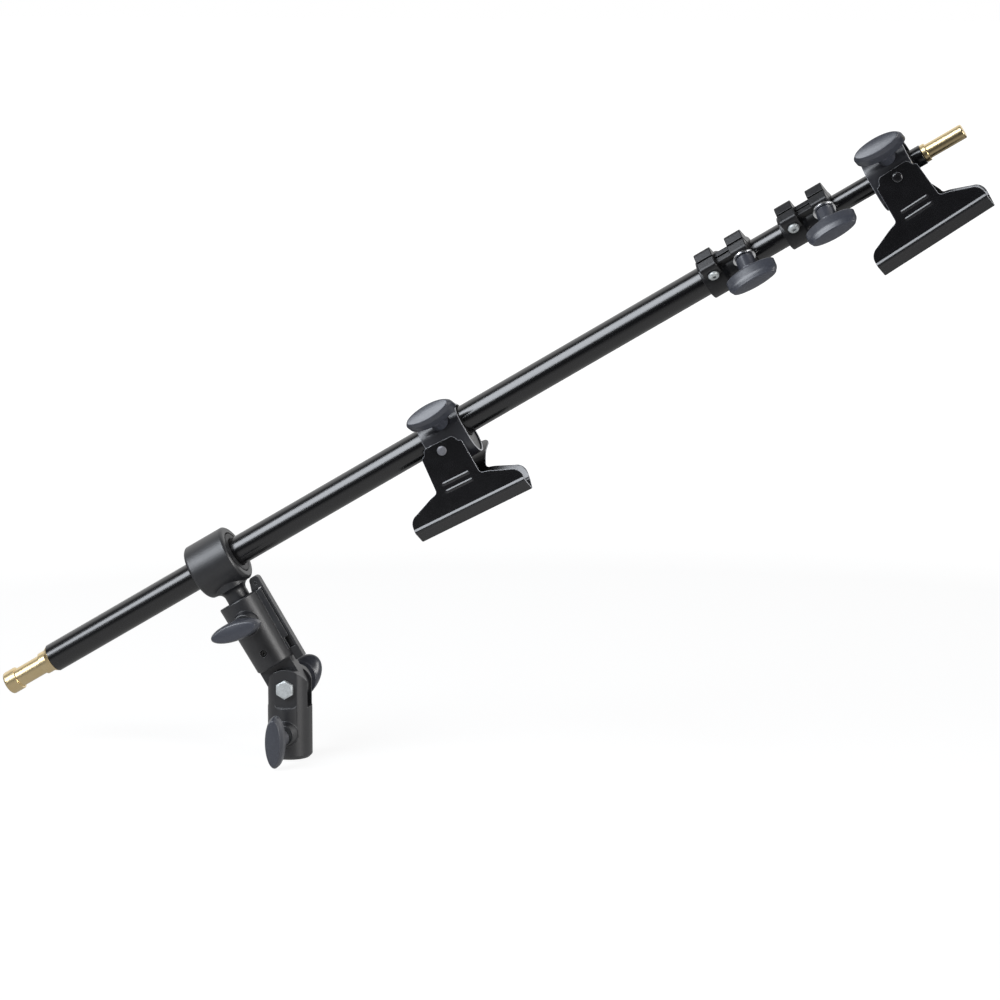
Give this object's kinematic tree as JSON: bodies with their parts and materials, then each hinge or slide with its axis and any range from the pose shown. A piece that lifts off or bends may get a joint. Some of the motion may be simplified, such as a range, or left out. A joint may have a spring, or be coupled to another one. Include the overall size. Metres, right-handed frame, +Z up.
{
  "type": "boom arm",
  "caption": "Telescopic boom arm with a tilting, swivelling stand socket, split clamps, sprung panel clips and brass studs at both ends.",
  "frame": {"origin": "centre of the stand socket's mouth, on the bottom face of the lower receiver", "axes": "+Z up along the stand socket, +X the way the boom climbs, -Y towards the socket's knob"},
  "size_m": [0.6677, 0.0834, 0.4292],
  "materials": {
    "brass": "turned",
    "clamp_plastic": "black moulded",
    "grip_rubber": "matt black",
    "jaw_sheet": "black coated sheet steel",
    "knob_plastic": "slate grey moulded",
    "liner_nylon": "black nylon",
    "receiver_cast": "satin black cast",
    "spring_steel": "blackened spring steel",
    "strap_sheet": "dark grey coated strip",
    "tube_black": "gloss black anodised",
    "washer_chrome": "polished",
    "zinc_steel": "zinc plated"
  },
  "bodies": {
    "stand_receiver": {"lower_receiver": "receiver_cast", "pivot_bolt": "zinc_steel"},
    "lower_clamp_screw": {"lower_screw": "zinc_steel"},
    "lower_clamp_knob": {"lower_knob": "knob_plastic"},
    "tension_washer_body": {"tension_washer": "zinc_steel"},
    "tension_knob_body": {"tension_knob": "knob_plastic"},
    "tilt_head": {"upper_receiver": "receiver_cast", "keeper_rail": "receiver_cast", "keeper_pin": "zinc_steel", "stem_set_screw": "zinc_steel"},
    "upper_clamp_screw": {"upper_screw": "zinc_steel"},
    "upper_clamp_knob": {"upper_knob": "knob_plastic"},
    "swivel_collar": {"boom_collar": "receiver_cast"},
    "collar_liner": {"collar_bush": "liner_nylon"},
    "main_section": {"main_tube": "tube_black", "end_spigot": "brass", "main_clamp_body": "clamp_plastic", "main_clamp_fixing_screw": "zinc_steel"},
    "main_lock_screw": {"main_clamp_screw": "zinc_steel", "main_clamp_washer": "washer_chrome"},
    "main_lock_knob": {"main_clamp_knob": "knob_plastic"},
    "middle_guide": {"middle_tube_guide": "liner_nylon"},
    "middle_section": {"middle_tube": "tube_black", "middle_clamp_body": "clamp_plastic", "middle_clamp_fixing_screw": "zinc_steel"},
    "middle_lock_screw": {"middle_clamp_screw": "zinc_steel", "middle_clamp_washer": "washer_chrome"},
    "middle_lock_knob": {"middle_clamp_knob": "knob_plastic"},
    "inner_guide": {"inner_tube_guide": "liner_nylon"},
    "inner_section": {"inner_tube": "tube_black", "tip_pin": "brass"},
    "lower_clip_grip": {"lower_clip_sleeve": "grip_rubber"},
    "lower_clip_holder": {"lower_clip_strap": "strap_sheet", "lower_clip_saddle": "clamp_plastic", "lower_clip_rivet": "zinc_steel", "lower_clip_front_jaw": "jaw_sheet", "lower_clip_spring": "spring_steel"},
    "lower_clip_lock_screw": {"lower_clip_screw": "zinc_steel"},
    "lower_clip_lock_knob": {"lower_clip_knob": "knob_plastic"},
    "lower_clip_sprung_jaw": {"lower_clip_rear_jaw": "jaw_sheet"},
    "upper_clip_grip": {"upper_clip_sleeve": "grip_rubber"},
    "upper_clip_holder": {"upper_clip_strap": "strap_sheet", "upper_clip_saddle": "clamp_plastic", "upper_clip_rivet": "zinc_steel", "upper_clip_front_jaw": "jaw_sheet", "upper_clip_spring": "spring_steel"},
    "upper_clip_lock_screw": {"upper_clip_screw": "zinc_steel"},
    "upper_clip_lock_knob": {"upper_clip_knob": "knob_plastic"},
    "upper_clip_sprung_jaw": {"upper_clip_rear_jaw": "jaw_sheet"}
  },
  "joints": [
    {"name": "lower_clamp_screw_travel", "type": "slide", "parent": "stand_receiver", "child": "lower_clamp_screw", "axis": [0, -1, 0], "range_m": [0, 0.0021]},
    {"name": "lower_clamp_knob_turn", "type": "hinge", "parent": "lower_clamp_screw", "child": "lower_clamp_knob", "pos_m": [0, -0.027, 0.018], "axis": [0, -1, 0], "range_deg": [0, 720]},
    {"name": "tension_screw_travel", "type": "slide", "parent": "stand_receiver", "child": "tension_washer_body", "axis": [0, 1, 0], "range_m": [0, 0.0021]},
    {"name": "tension_knob_turn", "type": "hinge", "parent": "tension_washer_body", "child": "tension_knob_body", "pos_m": [0, 0.0148, 0.0483], "axis": [0, 1, 0], "range_deg": [0, 720]},
    {"name": "tilt", "type": "hinge", "parent": "stand_receiver", "child": "tilt_head", "pos_m": [0, 0, 0.0483], "axis": [0, 1, 0], "range_deg": [-59.2, 110.8]},
    {"name": "upper_clamp_screw_travel", "type": "slide", "parent": "tilt_head", "child": "upper_clamp_screw", "axis": [0, -1, 0], "range_m": [0, 0.0021]},
    {"name": "upper_clamp_knob_turn", "type": "hinge", "parent": "upper_clamp_screw", "child": "upper_clamp_knob", "pos_m": [-0.0262, -0.027, 0.09225], "axis": [0, -1, 0], "range_deg": [0, 720]},
    {"name": "swivel", "type": "hinge", "parent": "tilt_head", "child": "swivel_collar", "pos_m": [-0.04914, 0, 0.13073], "axis": [-0.512, 0, 0.859], "continuous": true},
    {"name": "boom_roll", "type": "hinge", "parent": "swivel_collar", "child": "collar_liner", "pos_m": [-0.04914, 0, 0.13073], "axis": [0.859, 0, 0.512], "continuous": true},
    {"name": "boom_slide", "type": "slide", "parent": "collar_liner", "child": "main_section", "axis": [0.859, 0, 0.512], "range_m": [-0.05, 0.11]},
    {"name": "main_clamp_screw_travel", "type": "slide", "parent": "main_section", "child": "main_lock_screw", "axis": [0.4194, -0.5736, -0.7036], "range_m": [0, 0.0011]},
    {"name": "main_clamp_knob_turn", "type": "hinge", "parent": "main_lock_screw", "child": "main_lock_knob", "pos_m": [0.30764, -0.01636, 0.3426], "axis": [0.4194, -0.5736, -0.7036], "range_deg": [0, 360]},
    {"name": "middle_clamp_screw_travel", "type": "slide", "parent": "middle_section", "child": "middle_lock_screw", "axis": [0.3864, -0.6561, -0.6483], "range_m": [0, 0.0011]},
    {"name": "middle_clamp_knob_turn", "type": "hinge", "parent": "middle_lock_screw", "child": "middle_lock_knob", "pos_m": [0.35879, -0.01506, 0.37379], "axis": [0.3864, -0.6561, -0.6483], "range_deg": [0, 360]},
    {"name": "middle_slide", "type": "slide", "parent": "main_section", "child": "middle_guide", "axis": [0.859, 0, 0.512], "range_m": [-0.015, 0.37]},
    {"name": "middle_roll", "type": "hinge", "parent": "middle_guide", "child": "middle_section", "pos_m": [-0.06872, 0, 0.11905], "axis": [0.859, 0, 0.512], "continuous": true},
    {"name": "inner_slide", "type": "slide", "parent": "middle_section", "child": "inner_guide", "axis": [0.859, 0, 0.512], "range_m": [0, 0.37]},
    {"name": "inner_roll", "type": "hinge", "parent": "inner_guide", "child": "inner_section", "pos_m": [0.00738, 0, 0.16442], "axis": [0.859, 0, 0.512], "continuous": true},
    {"name": "lower_clip_slide", "type": "slide", "parent": "main_section", "child": "lower_clip_grip", "axis": [0.859, 0, 0.512], "range_m": [-0.03, 0.16]},
    {"name": "lower_clip_turn", "type": "hinge", "parent": "lower_clip_grip", "child": "lower_clip_holder", "pos_m": [0.10754, 0, 0.22412], "axis": [0.859, 0, 0.512], "continuous": true},
    {"name": "lower_clip_screw_travel", "type": "slide", "parent": "lower_clip_holder", "child": "lower_clip_lock_screw", "axis": [-0.256, -0.866, 0.4295], "range_m": [0, 0.0021]},
    {"name": "lower_clip_knob_turn", "type": "hinge", "parent": "lower_clip_lock_screw", "child": "lower_clip_lock_knob", "pos_m": [0.10626, -0.01187, 0.23134], "axis": [-0.256, -0.866, 0.4295], "range_deg": [0, 720]},
    {"name": "lower_clip_jaw", "type": "hinge", "parent": "lower_clip_holder", "child": "lower_clip_sprung_jaw", "pos_m": [0.1189, 0.0085, 0.19148], "axis": [0.8886, 0, 0.4587], "range_deg": [0, 25], "stiffness_Nm_per_rad": 0.6, "springref_deg": -20.05},
    {"name": "upper_clip_slide", "type": "slide", "parent": "inner_section", "child": "upper_clip_grip", "axis": [0.859, 0, 0.512], "range_m": [-0.002, 0.006]},
    {"name": "upper_clip_turn", "type": "hinge", "parent": "upper_clip_grip", "child": "upper_clip_holder", "pos_m": [0.40036, 0, 0.39868], "axis": [0.859, 0, 0.512], "continuous": true},
    {"name": "upper_clip_screw_travel", "type": "slide", "parent": "upper_clip_holder", "child": "upper_clip_lock_screw", "axis": [-0.256, -0.866, 0.4295], "range_m": [0, 0.0021]},
    {"name": "upper_clip_knob_turn", "type": "hinge", "parent": "upper_clip_lock_screw", "child": "upper_clip_lock_knob", "pos_m": [0.39744, -0.01187, 0.40864], "axis": [-0.256, -0.866, 0.4295], "range_deg": [0, 720]},
    {"name": "upper_clip_jaw", "type": "hinge", "parent": "upper_clip_holder", "child": "upper_clip_sprung_jaw", "pos_m": [0.41788, 0.0085, 0.37633], "axis": [0.832, 0, 0.5548], "range_deg": [0, 25], "stiffness_Nm_per_rad": 0.6, "springref_deg": -20.05}
  ],
  "couplings": [
    {"joint": "lower_clamp_screw_travel", "follows": "lower_clamp_knob_turn", "m_per_rad": 0.00015915},
    {"joint": "tension_screw_travel", "follows": "tension_knob_turn", "m_per_rad": 0.00015915},
    {"joint": "upper_clamp_screw_travel", "follows": "upper_clamp_knob_turn", "m_per_rad": 0.00015915},
    {"joint": "main_clamp_screw_travel", "follows": "main_clamp_knob_turn", "m_per_rad": 0.00015915},
    {"joint": "middle_clamp_screw_travel", "follows": "middle_clamp_knob_turn", "m_per_rad": 0.00015915},
    {"joint": "lower_clip_screw_travel", "follows": "lower_clip_knob_turn", "m_per_rad": 0.00015915},
    {"joint": "upper_clip_screw_travel", "follows": "upper_clip_knob_turn", "m_per_rad": 0.00015915}
  ]
}
